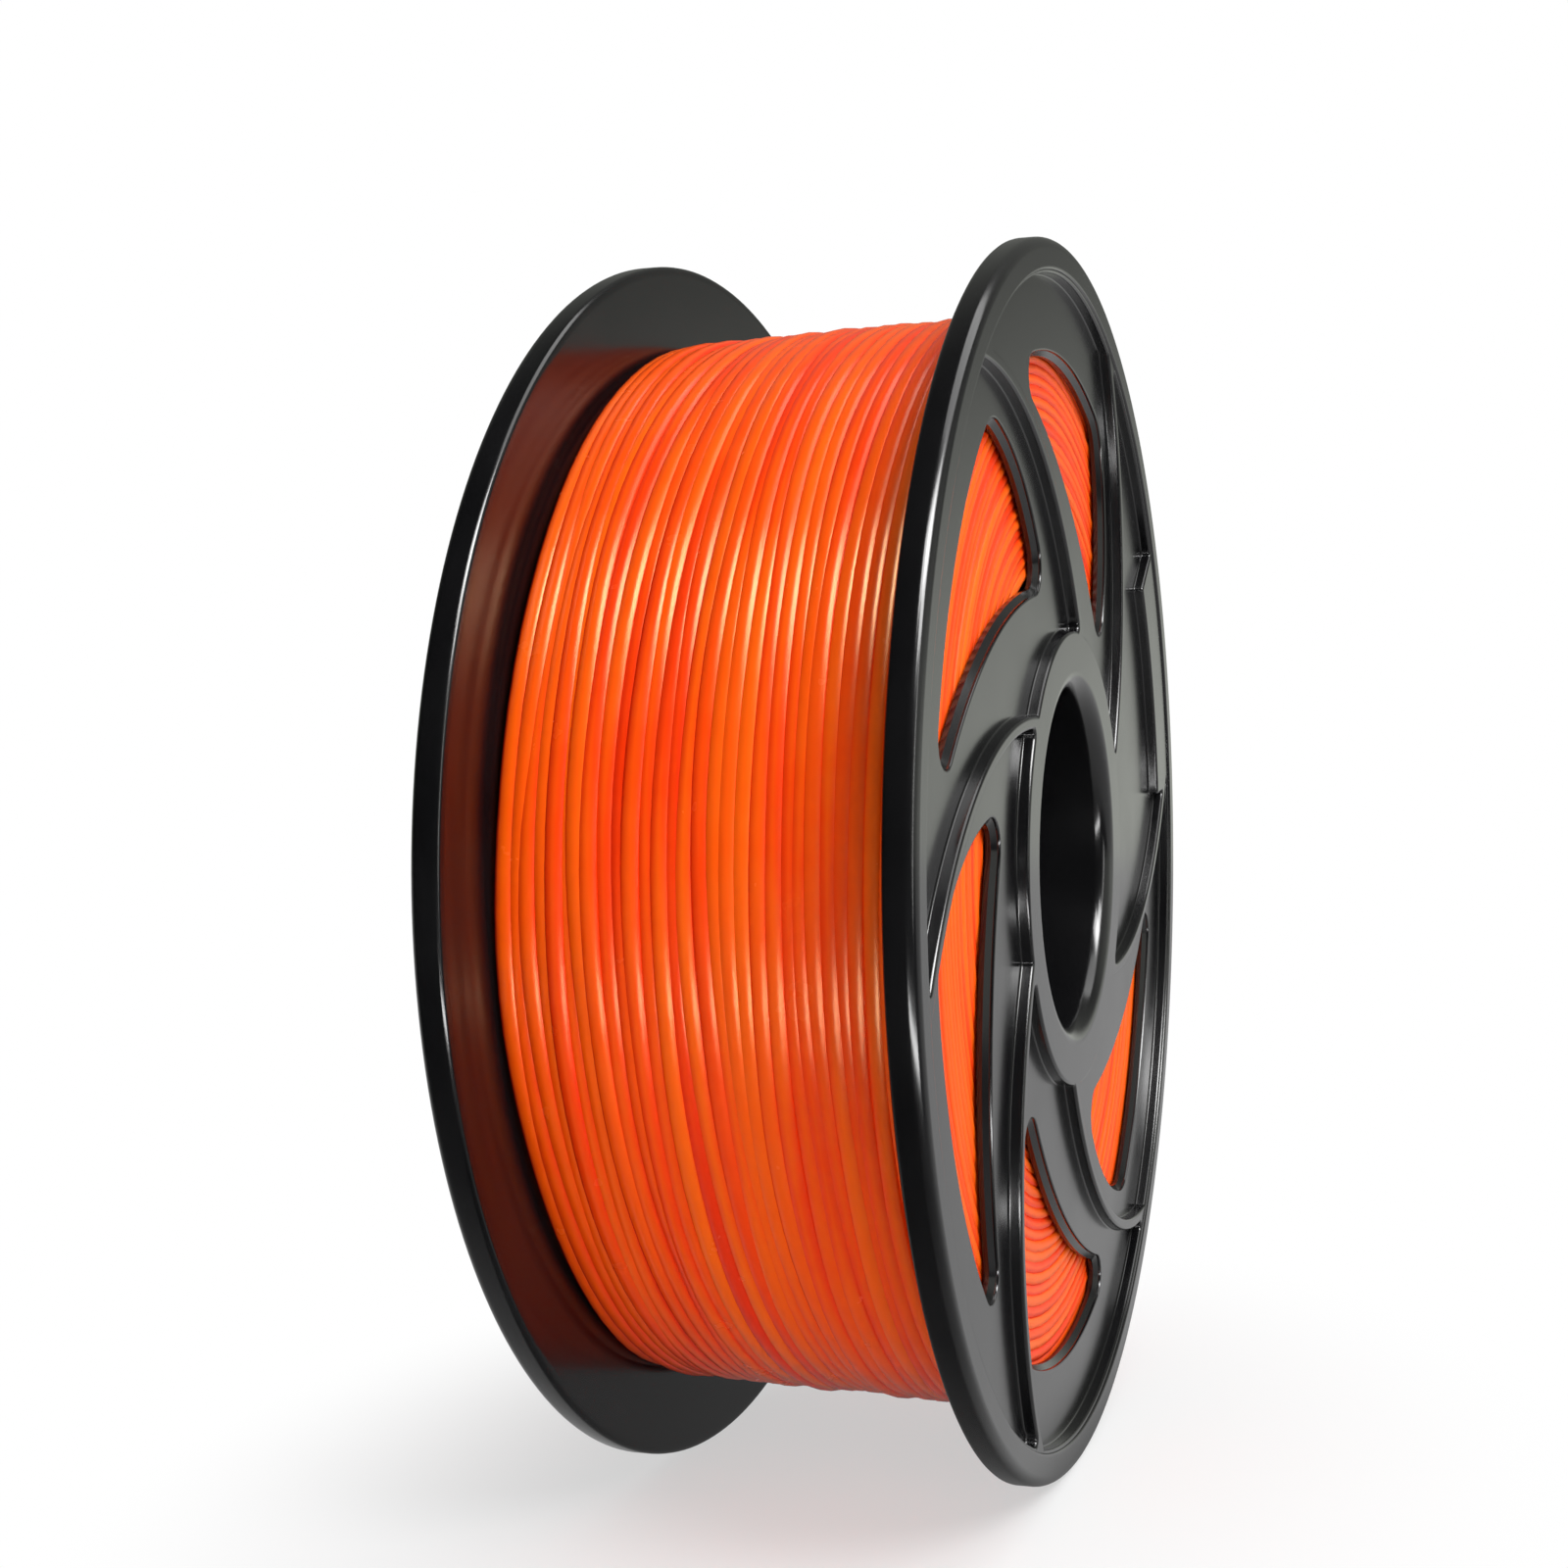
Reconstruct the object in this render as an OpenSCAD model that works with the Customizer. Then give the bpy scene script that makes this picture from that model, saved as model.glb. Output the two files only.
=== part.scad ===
// Spool of 3-D printer filament.
// Two moulded halves, each a flange with swirl vanes and half of the hub, snap together at mid-width.
// One length of filament is wound on the hub between the flanges.
// The bore lies along Y, the origin is at the spool's centre, and +Z is up as the spool stands on its rims.

/* [Spool] */
// Diameter over the flange rims
spool_d = 200; // [180:1:240]
// Width over the two rims
spool_w = 68; // [50:1:100]
// Diameter of the bore, the hole for the spindle
bore_d = 56; // [48:0.5:62]

/* [Flange] */
// Thickness of a flange over its rim
flange_t = 4.6; // [4:0.1:7]
// Thickness of the plate between the ribs
web_t = 2.2; // [1.6:0.1:3]
// Radial width of the raised rim
rim_w = 5; // [3:0.1:8]
// Height of the rim above the vanes and the hub ring
rim_step = 0.4; // [0.2:0.1:1.2]
// Chamfer on the rim's outer edges
rim_chamfer = 0.7; // [0.3:0.1:1.4]

/* [Swirl vanes] */
// Number of vanes, and of the sectors between them
vane_count = 6; // [5:1:6]
// Width of a vane
vane_w = 2; // [1.6:0.1:5]
// Radius of the arc that a vane follows
vane_arc_r = 71; // [68:0.5:78]
// Distance from the bore's axis to the centre of that arc
vane_arc_offset = 57.5; // [54:0.5:62]

/* [Windows] */
// Plate left between a window and the rim
window_rim_margin = 13; // [8:0.5:18]
// Radius of a window's front edge, which faces the vane before it
window_front_r = 44; // [38:1:52]
// Least plate left between that edge and the vane
window_front_margin = 6; // [4:0.5:9]
// Angle of the place where they come closest, seen from the centre of the vane's arc
window_front_angle = 81; // [76:0.5:86]
// Radius of a window's long back edge
window_back_r = 97; // [88:0.5:106]
// Least plate left between the back edge's arc and the next vane's arc
window_back_margin = 1.6; // [0:0.1:4]
// Angle from the next vane's arc centre back to where the two arcs come closest
window_back_angle = 68; // [62:0.5:74]
// Rounding of a window's broad corner
window_corner_r = 8; // [4:0.5:12]
// Rounding of a window's narrow tip near the rim
window_outer_tip_r = 3; // [1:0.1:4]
// Rounding of a window's tip near the hub
window_inner_tip_r = 4; // [1:0.1:5]

/* [Closed sector] */
// Sector that has no window, counted round from the first vane
closed_sector = 4; // [0:1:4]
// Where the land beside the rim starts in that sector, in degrees
land_start = 128; // [122:1:140]
// Where the land ends, in degrees
land_end = 159; // [148:1:166]

/* [Hub] */
// Wall of the tube round the bore
bore_wall = 2.2; // [1.6:0.1:3.5]
// Rounding of the bore's mouth
bore_lip_r = 3; // [1:0.1:3.6]
// Diameter of the raised ring round the bore's mouth
hub_ring_d = 75.4; // [72:0.2:80]
// Diameter of the drum that the filament is wound on
drum_d = 94; // [86:0.5:96]
// Wall of the drum
drum_wall = 3.2; // [2.8:0.1:4.5]
// Number of ribs that tie the drum to the bore tube in each half
hub_ribs = 6; // [3:1:9]
// Thickness of such a rib
hub_rib_t = 1.8; // [1.2:0.1:3]

/* [Snap joint] */
// Length of the spigot that enters the other half
spigot_l = 8; // [5:0.5:12]
// Height of the snap bead on the spigot
bead_h = 0.5; // [0.3:0.05:0.8]
// Length of the snap bead
bead_l = 1.6; // [1.2:0.1:2.4]
// Radial clearance between spigot and socket
joint_gap = 0.15; // [0.05:0.05:0.3]

/* [Filament] */
// Diameter of the filament
filament_d = 1.75; // [1.6:0.05:2.2]
// Diameter over the winding
winding_d = 176.6; // [150:0.2:178]
// Clearance between the winding and each flange
winding_gap = 0.3; // [0.2:0.05:0.6]
// Most turns shown in the outer layer
max_turns = 21; // [12:1:24]
// Least gap between two turns of the outer layer
turn_gap = 0.45; // [0.42:0.01:1]
// Clearance under the outer layer
turn_clearance = 0.1; // [0.05:0.05:0.3]
// Radius of the bend where an end of the outer layer dives into the winding
end_bend_r = 3.2; // [2.5:0.1:5]
// Length of the straight end after that bend
end_straight_l = 2; // [1.8:0.1:4]
// Clearance round that end in its slot
end_slot_gap = 0.25; // [0.1:0.05:0.5]

/* [Hidden] */
$fn = 96;
eps = 0.01;

spool_r = spool_d / 2;
rim_inner_r = spool_r - rim_w;
bore_r = bore_d / 2;
bore_tube_r = bore_r + bore_wall;
hub_ring_r = hub_ring_d / 2;
drum_r = drum_d / 2;
drum_inner_r = drum_r - drum_wall;
// The flange's inner face is at height 0 in a half's own frame, and the spool's middle is below it.
half_depth = spool_w / 2 - flange_t;
relief_top = flange_t - rim_step;

// Points of a round arc from angle a to angle b
function arc(centre, r, a, b, steps) =
    [for (i = [0:steps]) centre + r * [cos(a + (b - a) * i / steps), sin(a + (b - a) * i / steps)]];

// Where two circles meet, on the left of the way from the first centre to the second
function meet(c1, r1, c2, r2) =
    let (
        d = norm(c2 - c1),
        along = (r1 * r1 - r2 * r2 + d * d) / (2 * d),
        aside = sqrt(r1 * r1 - along * along),
        u = (c2 - c1) / d
    )
    c1 + along * u + aside * [-u[1], u[0]];

function angle_of(v) = atan2(v[1], v[0]);

// The cross-section of a half, radius across and height up, from the bore's mouth round to the drum.
// The drum's end, which differs between the halves, comes in as a list of points.
function half_profile(drum_end) = concat(
    arc([bore_r + bore_lip_r, relief_top - bore_lip_r], bore_lip_r, 180, 90, 3),
    [[rim_inner_r, relief_top], [rim_inner_r, flange_t]],
    [[spool_r - rim_chamfer, flange_t], [spool_r, flange_t - rim_chamfer]],
    [[spool_r, rim_chamfer], [spool_r - rim_chamfer, 0]],
    [[drum_r, 0], [drum_r, -half_depth]],
    drum_end,
    [[drum_inner_r, 0], [bore_tube_r, 0], [bore_tube_r, -half_depth], [bore_r, -half_depth]]
);

// The drum's wall is split in the joint: the spigot takes its inner half, the socket its outer half.
spigot_r = drum_r - drum_wall / 2;
bead_start = spigot_l - bead_l;

// Spigot with a snap bead at its end, standing past the middle of the spool
function spigot_profile(r) = [
    [r, -half_depth],
    [r, -half_depth - bead_start],
    [r + bead_h, -half_depth - bead_start - bead_l / 2],
    [r, -half_depth - spigot_l],
    [drum_inner_r, -half_depth - spigot_l]
];

// Socket with the groove for that bead
function socket_profile(r) = [
    [r, -half_depth],
    [r, -half_depth + bead_start - joint_gap],
    [r + bead_h, -half_depth + bead_start + bead_l / 2],
    [r, -half_depth + spigot_l + joint_gap],
    [drum_inner_r, -half_depth + spigot_l + joint_gap]
];

// One vane's outline: an arc about a centre on -X, kept to the side where it runs out to the rim
module vane_outline() {
    intersection() {
        translate([-vane_arc_offset, 0]) {
            difference() {
                circle(r = vane_arc_r + vane_w / 2);
                circle(r = vane_arc_r - vane_w / 2);
            }
        }
        translate([-spool_r, 0]) {
            square([2 * spool_r, spool_r]);
        }
    }
}

// The land of the closed sector: there the rim is as broad as the plate beside the windows
module land_outline() {
    rotate(closed_sector * 360 / vane_count) {
        difference() {
            polygon(concat([[0, 0]], arc([0, 0], spool_r, land_start, land_end, 4)));
            circle(r = window_outer_r);
        }
    }
}

// The pockets between the vanes, from the hub ring out to the rim
module pockets() {
    translate([0, 0, web_t]) {
        linear_extrude(height = flange_t - web_t + 1) {
            difference() {
                circle(r = rim_inner_r);
                circle(r = hub_ring_r);
                for (i = [0:vane_count - 1]) {
                    rotate(i * 360 / vane_count) {
                        vane_outline();
                    }
                }
                land_outline();
            }
        }
    }
}

// A window's outline: an arc beside the rim, the front edge's arc and the long back edge
vane_centre = [-vane_arc_offset, 0];
vane_inner_r = vane_arc_r - vane_w / 2;
front_centre = vane_centre + (vane_inner_r - window_front_margin - window_front_r)
    * [cos(window_front_angle), sin(window_front_angle)];
front_reach = norm(front_centre) + window_front_r;
window_outer_r = min(rim_inner_r - window_rim_margin, front_reach - window_corner_r / 2);
next_vane_angle = 180 + 360 / vane_count;
next_vane_centre = vane_arc_offset * [cos(next_vane_angle), sin(next_vane_angle)];
closest_angle = next_vane_angle - window_back_angle;
back_shift = window_back_r - vane_arc_r - vane_w / 2 - window_back_margin;
back_centre = next_vane_centre - back_shift * [cos(closest_angle), sin(closest_angle)];
corner_centre = meet(front_centre, window_front_r - window_corner_r,
                     [0, 0], window_outer_r - window_corner_r);
outer_tip_centre = meet(back_centre, window_back_r + window_outer_tip_r,
                        [0, 0], window_outer_r - window_outer_tip_r);
inner_tip_centre = meet(front_centre, window_front_r - window_inner_tip_r,
                        back_centre, window_back_r + window_inner_tip_r);

// A round arc that always runs counterclockwise
function arc_on(centre, r, a, b, steps) = arc(centre, r, a, b < a ? b + 360 : b, steps);

function window_outline() = concat(
    arc_on(corner_centre, window_corner_r,
           angle_of(corner_centre - front_centre), angle_of(corner_centre), 4),
    arc_on([0, 0], window_outer_r, angle_of(corner_centre), angle_of(outer_tip_centre), 6),
    arc_on(outer_tip_centre, window_outer_tip_r,
           angle_of(outer_tip_centre), angle_of(back_centre - outer_tip_centre), 4),
    arc(back_centre, window_back_r,
        angle_of(outer_tip_centre - back_centre), angle_of(inner_tip_centre - back_centre), 8),
    arc_on(inner_tip_centre, window_inner_tip_r,
           angle_of(back_centre - inner_tip_centre), angle_of(inner_tip_centre - front_centre), 4),
    arc_on(front_centre, window_front_r,
           angle_of(inner_tip_centre - front_centre), angle_of(corner_centre - front_centre), 8)
);

module windows() {
    for (i = [0:vane_count - 1]) {
        if (i != closed_sector) {
            rotate(i * 360 / vane_count) {
                translate([0, 0, -eps]) {
                    linear_extrude(height = flange_t) {
                        polygon(window_outline());
                    }
                }
            }
        }
    }
}

// The ribs inside the hub stop short of the joint, where the spigot turns past them.
rib_l = half_depth - spigot_l - 1;

module hub_rib() {
    translate([bore_tube_r - bore_wall / 2, -hub_rib_t / 2, -rib_l]) {
        cube([drum_inner_r - bore_tube_r + bore_wall / 2 + drum_wall / 4, hub_rib_t, rib_l + web_t / 2]);
    }
}

module flange_half(drum_end) {
    difference() {
        rotate_extrude() {
            polygon(half_profile(drum_end));
        }
        pockets();
        windows();
    }
    for (i = [0:hub_ribs - 1]) {
        rotate((i + 0.5) * 360 / hub_ribs) {
            hub_rib();
        }
    }
}

module near_flange_half() {
    color([0.06, 0.06, 0.065]) {
        rotate([90, 0, 0]) {
            translate([0, 0, half_depth]) {
                flange_half(spigot_profile(spigot_r - joint_gap));
            }
        }
    }
}

module far_flange_half() {
    color([0.06, 0.06, 0.065]) {
        rotate([90, 0, 180]) {
            translate([0, 0, half_depth]) {
                flange_half(socket_profile(spigot_r));
            }
        }
    }
}

// The outer layer is one length of filament, wound side by side at an even pitch.
turn_rings = 24;
turn_sides = 6;
filament_r = filament_d / 2;
layer_w = spool_w - 2 * flange_t - 2 * winding_gap;
turn_r = winding_d / 2 - filament_r;
turns = min(max_turns, floor((layer_w - filament_d) / (filament_d + turn_gap)));
pitch = (layer_w - filament_d) / turns;
first_y = -(layer_w - filament_d) / 2;
last_angle = turns * 360;
// The chords of the turns dip below their radius, and the inner layers stay clear of them.
inner_layers_r = turn_r * cos(180 / turn_rings) - filament_r - turn_clearance;
end_slot_floor = turn_r - end_bend_r - end_straight_l;

// A point of the layer's path at angle a, counted in degrees from straight down
function turn_point(a) = [turn_r * sin(a), first_y + pitch * a / 360, -turn_r * cos(a)];

// A point of an end of the path, which bends from angle a down to the slot's floor.
// t goes from 0 to 1 round the bend and on to 2 down the straight; way is -1 at the start, 1 at the end.
function end_point(a, way, t) =
    let (
        bend = 90 * min(t, 1),
        aside = way * end_bend_r * sin(bend),
        up = turn_r - end_bend_r * (1 - cos(bend)) - end_straight_l * max(t - 1, 0)
    )
    [up * sin(a) + aside * cos(a), first_y + pitch * a / 360, -up * cos(a) + aside * sin(a)];

bend_rings = 4;
path = concat(
    [end_point(0, -1, 2)],
    [for (i = [bend_rings:-1:0]) end_point(0, -1, i / bend_rings)],
    [for (i = [1:turns * turn_rings]) turn_point(i * 360 / turn_rings)],
    [for (i = [1:bend_rings]) end_point(last_angle, 1, i / bend_rings)],
    [end_point(last_angle, 1, 2)]
);
last_ring = len(path) - 1;

function unit(v) = v / norm(v);
function heading(i) = unit(path[min(i + 1, last_ring)] - path[max(i - 1, 0)]);

// The tube's section at one point of the path, turned so that one corner always points along Y
function section(i) =
    let (
        ahead = heading(i),
        across = unit([0, 1, 0] - ahead[1] * ahead),
        out = cross(ahead, across)
    )
    [for (k = [0:turn_sides - 1])
        path[i] + filament_r * (cos(k * 360 / turn_sides) * across + sin(k * 360 / turn_sides) * out)];

function corner(i, k) = i * turn_sides + k % turn_sides;

tube_points = [for (i = [0:last_ring]) each section(i)];
tube_sides = [for (i = [0:last_ring - 1]) for (k = [0:turn_sides - 1]) each [
    [corner(i, k), corner(i + 1, k + 1), corner(i, k + 1)],
    [corner(i, k), corner(i + 1, k), corner(i + 1, k + 1)]
]];
tube_ends = [for (k = [1:turn_sides - 2]) each [
    [corner(0, 0), corner(0, k), corner(0, k + 1)],
    [corner(last_ring, 0), corner(last_ring, k + 1), corner(last_ring, k)]
]];

// Least gap of the tube to itself, measured between points from half a turn to one and a half turns apart
self_gaps = [for (i = [0:last_ring])
    for (j = [i + turn_rings / 2:1:min(i + turn_rings * 3 / 2, last_ring)])
        norm(path[j] - path[i]) - filament_d];
echo(turns = turns, least_gap_between_turns_mm = min(self_gaps));

// The slot that an end of the outer layer dives into, seen at the bottom of the spool
module end_slot(way) {
    reach = end_bend_r + filament_r + end_slot_gap;
    translate([way > 0 ? 0 : -reach, -filament_r - end_slot_gap, -turn_r]) {
        cube([reach, filament_d + 2 * end_slot_gap, turn_r - end_slot_floor]);
    }
}

module filament_inner_layers() {
    color([0.93, 0.36, 0.08]) {
        difference() {
            rotate([90, 0, 0]) {
                difference() {
                    cylinder(r = inner_layers_r, h = layer_w, center = true);
                    cylinder(r = drum_r, h = layer_w + 1, center = true);
                }
            }
            translate([0, first_y, 0]) {
                end_slot(-1);
            }
            rotate([0, -last_angle, 0]) {
                translate([0, first_y + pitch * turns, 0]) {
                    end_slot(1);
                }
            }
        }
    }
}

module filament_outer_layer() {
    color([0.95, 0.38, 0.08]) {
        polyhedron(points = tube_points, faces = concat(tube_sides, tube_ends));
    }
}

near_flange_half();
far_flange_half();
filament_inner_layers();
filament_outer_layer();
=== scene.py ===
import math

import bmesh
import bpy
from mathutils import Matrix, Vector


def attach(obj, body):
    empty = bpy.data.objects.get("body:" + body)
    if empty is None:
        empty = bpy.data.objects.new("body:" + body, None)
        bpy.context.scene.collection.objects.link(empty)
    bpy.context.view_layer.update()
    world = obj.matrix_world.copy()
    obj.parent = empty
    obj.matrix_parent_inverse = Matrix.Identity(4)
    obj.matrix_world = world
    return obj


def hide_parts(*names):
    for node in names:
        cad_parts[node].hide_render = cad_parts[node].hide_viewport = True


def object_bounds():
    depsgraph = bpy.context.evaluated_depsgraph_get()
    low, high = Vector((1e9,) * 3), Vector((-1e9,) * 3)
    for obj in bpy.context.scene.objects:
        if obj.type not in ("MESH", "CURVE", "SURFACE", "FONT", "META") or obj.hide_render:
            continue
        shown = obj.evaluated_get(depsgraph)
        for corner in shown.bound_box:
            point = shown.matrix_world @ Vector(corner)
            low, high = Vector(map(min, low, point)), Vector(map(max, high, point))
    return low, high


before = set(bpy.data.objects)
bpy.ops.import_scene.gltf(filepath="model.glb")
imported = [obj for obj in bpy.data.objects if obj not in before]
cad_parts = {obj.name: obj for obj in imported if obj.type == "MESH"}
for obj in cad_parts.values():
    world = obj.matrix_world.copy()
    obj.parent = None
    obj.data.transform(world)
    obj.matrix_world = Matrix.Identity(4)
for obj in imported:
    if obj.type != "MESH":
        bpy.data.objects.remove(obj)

cad_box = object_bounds()

# ---------------------------------------------------------------------------
# Camera and studio. A close, low look along the near flange's face. The spool stands on white paper
# under soft lamps, in a room that is dark behind the camera, which keeps the plastic black.
# ---------------------------------------------------------------------------
camera_data = bpy.data.cameras.new("camera")
camera_data.lens = 46.71
camera_data.sensor_width = 36
camera_data.shift_x = -0.0982
camera_data.shift_y = 0.0189
camera_data.clip_start = 0.01
camera_data.clip_end = 20
camera = bpy.data.objects.new("camera", camera_data)
bpy.context.scene.collection.objects.link(camera)
bpy.context.scene.camera = camera
eye = Vector((-0.33324, -0.10106, 0.00711))
ahead = Vector((0.963992, 0.265928, 0.000938)).normalized()
right = Vector((0.265930, -0.963986, -0.003401)).normalized()
up = right.cross(ahead)
camera.matrix_world = Matrix((
    (right.x, up.x, -ahead.x, eye.x),
    (right.y, up.y, -ahead.y, eye.y),
    (right.z, up.z, -ahead.z, eye.z),
    (0, 0, 0, 1),
))
bpy.context.scene.view_settings.view_transform = "Standard"


class Signal:
    """A socket of a node tree. Sums on it are written as plain expressions, and each adds a Math node."""

    def __init__(self, tree, socket=None):
        self.tree = tree
        self.socket = socket

    def node(self, kind, settings=(), sockets=(), out=0):
        """Adds any node: its settings first, then the values or links of its sockets."""
        made = self.tree.nodes.new(kind)
        for name, value in dict(settings).items():
            if name == "stops":
                for _ in range(len(value) - 2):
                    made.color_ramp.elements.new(0.5)
                for element, (place, colour) in zip(made.color_ramp.elements, value):
                    element.position = place
                    element.color = colour
            else:
                setattr(made, name, value)
        for name, value in dict(sockets).items():
            if isinstance(value, Signal):
                self.tree.links.new(value.socket, made.inputs[name])
            else:
                made.inputs[name].default_value = value
        return Signal(self.tree, made.outputs[out] if made.outputs else None)

    def output(self, name):
        """Another output of the node that this signal comes from."""
        return Signal(self.tree, self.socket.node.outputs[name])

    def maths(self, operation, *values):
        return self.node("ShaderNodeMath", {"operation": operation}, dict(enumerate(values)))

    def vector(self, x=0.0, y=0.0, z=0.0):
        return self.node("ShaderNodeCombineXYZ", {}, {"X": x, "Y": y, "Z": z})

    def ramp(self, low, high, first, last):
        """Goes smoothly from the first value to the last as this signal goes from low to high."""
        return self.node("ShaderNodeMapRange", {"interpolation_type": "SMOOTHSTEP"}, {
            0: self, 1: low, 2: high, 3: first, 4: last})

    def __add__(self, other):
        return self.maths("ADD", self, other)

    __radd__ = __add__

    def __sub__(self, other):
        return self.maths("SUBTRACT", self, other)

    def __rsub__(self, other):
        return self.maths("SUBTRACT", other, self)

    def __mul__(self, other):
        return self.maths("MULTIPLY", self, other)

    __rmul__ = __mul__

    def __truediv__(self, other):
        return self.maths("DIVIDE", self, other)

    def __neg__(self):
        return self.maths("MULTIPLY", self, -1.0)


def new_material(name):
    material = bpy.data.materials.new(name)
    material.use_nodes = True
    material.node_tree.nodes.clear()
    return material, Signal(material.node_tree)


# Studio sheet: matt white paper. Away from the spool it shows plain white, and beside it its shadow.
# In reflections it is dark towards the camera, carries a painted shadow of the spool between the flanges, and
# is pale behind the spool.
sheet_height = cad_box[0][2]
sheet_half = 4.0
sheet_mesh = bpy.data.meshes.new("studio_sheet")
sheet_mesh.from_pydata(
    [(across * sheet_half, along * sheet_half, sheet_height)
     for across, along in ((-1, -1), (1, -1), (1, 1), (-1, 1))],
    [], [(0, 1, 2, 3)])
sheet = bpy.data.objects.new("studio_sheet", sheet_mesh)
bpy.context.scene.collection.objects.link(sheet)
sheet_finish, tree = new_material("studio_paper")
rays = tree.node("ShaderNodeLightPath")
seen = rays.output("Is Camera Ray")
mirrored = rays.output("Is Glossy Ray")
through = rays.output("Is Transmission Ray")
place = tree.node("ShaderNodeTexCoord", {}, {}, "Object")
x = tree.node("ShaderNodeSeparateXYZ", {}, {"Vector": place}, "X")
y = x.output("Y")
shadow_squeeze = 2.0  # the shadow is narrower across the spool's width than along its face
away = tree.maths("SQRT", x * x + y * y * shadow_squeeze)
cleared = away.ramp(low=0.05, high=0.17, first=0.55, last=1.0)
white_share = tree.maths("MINIMUM", seen * cleared + mirrored + through, 1.0)
paper = tree.node("ShaderNodeBsdfDiffuse", {}, {"Color": (0.8, 0.8, 0.8, 1)})
# Painted shadow: in reflections the paper is darker between the flanges, where the spool's shadow falls.
painted_spool_shadow = tree.maths("ABSOLUTE", y).ramp(low=0.030, high=0.044, first=0.3, last=1.0)
behind = x.ramp(low=-0.17, high=0.0, first=0.03, last=0.62) * painted_spool_shadow
glow = tree.node("ShaderNodeEmission", {}, {
    "Color": (1, 1, 1, 1), "Strength": behind * mirrored + (1 - mirrored)})
mixed = tree.node("ShaderNodeMixShader", {}, {0: white_share, 1: paper, 2: glow})
tree.node("ShaderNodeOutputMaterial", {}, {"Surface": mixed})
sheet_mesh.materials.append(sheet_finish)

# Surroundings: white behind the object and an even grey as light. In reflections they are dark on the
# camera's side, and pale low behind the spool and beside the near flange.
world = bpy.data.worlds.new("studio")
bpy.context.scene.world = world
world.use_nodes = True
world.node_tree.nodes.clear()
tree = Signal(world.node_tree)
rays = tree.node("ShaderNodeLightPath")
seen = rays.output("Is Camera Ray")
mirrored = rays.output("Is Glossy Ray")
through = rays.output("Is Transmission Ray")
way = tree.node("ShaderNodeTexCoord", {}, {}, "Generated")
x = tree.node("ShaderNodeSeparateXYZ", {}, {"Vector": way}, "X")
y = x.output("Y")
z = x.output("Z")
behind = x.ramp(low=-0.1, high=0.7, first=0.0, last=1.0) * z.ramp(low=-0.02, high=0.3, first=0.8, last=0.17)
beside = (-y).ramp(low=0.6, high=1.0, first=0.0, last=0.7)
faint = 0.015
room = tree.node("ShaderNodeBackground", {}, {"Color": (1, 1, 1, 1), "Strength": 0.36})
white = tree.node("ShaderNodeBackground", {}, {"Color": (1, 1, 1, 1), "Strength": 1.0})
mirrored_room = tree.node("ShaderNodeBackground", {}, {
    "Color": (0.97, 1, 0.92, 1), "Strength": behind + beside + faint})
plain_share = tree.maths("MINIMUM", seen + through, 1.0)
mixed = tree.node("ShaderNodeMixShader", {}, {0: mirrored, 1: room, 2: mirrored_room})
mixed = tree.node("ShaderNodeMixShader", {}, {0: plain_share, 1: mixed, 2: white})
tree.node("ShaderNodeOutputWorld", {}, {"Surface": mixed})


def add_lamp(name, place, aim, width, height, watts, lights="all", receivers=None):
    """A soft lamp. It lights everything, or only matt surfaces, or only shows as a reflection.

    Where it has receivers, it reaches those pieces and no others.
    """
    data = bpy.data.lights.new(name, "AREA")
    data.shape = "RECTANGLE"
    data.size = width
    data.size_y = height
    data.energy = watts
    lamp = bpy.data.objects.new(name, data)
    bpy.context.scene.collection.objects.link(lamp)
    lamp.location = place
    lamp.rotation_mode = "QUATERNION"
    lamp.rotation_quaternion = (Vector(aim) - Vector(place)).to_track_quat("-Z", "Y")
    lamp.visible_camera = False
    lamp.visible_diffuse = lights != "reflections"
    lamp.visible_glossy = lights != "surfaces"
    if receivers is not None:
        lamp.light_linking.receiver_collection = receivers


# Lamps: two softboxes for all of the spool, and a fill for matt surfaces. The other three only show as
# reflections: the panel as streaks along the winding, and the strips as short ticks on its turns and a
# thin line on the near rim.
spool_middle = (0, 0, 0)
add_lamp("key_softbox", place=(-0.55, -0.66, 0.72), aim=spool_middle, width=0.4, height=0.45, watts=8.5)
add_lamp("top_softbox", place=(0.15, -0.5, 1.2), aim=spool_middle, width=0.9, height=0.9, watts=7)
add_lamp("front_fill", place=(-0.8, -0.65, 0.0), aim=spool_middle, width=0.6, height=0.5, watts=2.8,
         lights="surfaces")
add_lamp("streak_panel", place=(-0.5, -0.5, 0.8), aim=spool_middle, width=0.8, height=0.32, watts=12,
         lights="reflections")
add_lamp("side_strip", place=(-0.42, -0.72, 0.0), aim=(-0.08, 0, 0), width=0.05, height=1.3, watts=1.6,
         lights="reflections")
add_lamp("low_strip", place=(-0.21, -0.1, -0.088), aim=(-0.088, 0.01, -0.019), width=0.16, height=0.018,
         watts=0.2, lights="reflections")

# ---------------------------------------------------------------------------
# Spool halves. Two mouldings in glossy black plastic, each a flange with six swept vanes, five windows
# and a closed sector between them, a bore tube and half of the drum. The drum halves snap together.
# ---------------------------------------------------------------------------
spool_r = 0.1
spool_half_w = 0.034
flange_t = 0.0046
plate_t = 0.0022
rim_w = 0.005
rim_step = 0.0004
hub_ring_r = 0.0377
drum_r = 0.047
drum_wall = 0.0032
rim_inner_r = spool_r - rim_w
relief_t = flange_t - rim_step
half_depth = spool_half_w - flange_t
sectors = 6
closed_sector = 4
vane_arc_r = 0.071
vane_w = 0.002
vane_offset = 0.0575


def polar(angle, reach=1.0):
    """A flat vector by its angle in degrees."""
    return Vector((math.cos(math.radians(angle)), math.sin(math.radians(angle)))) * reach


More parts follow.
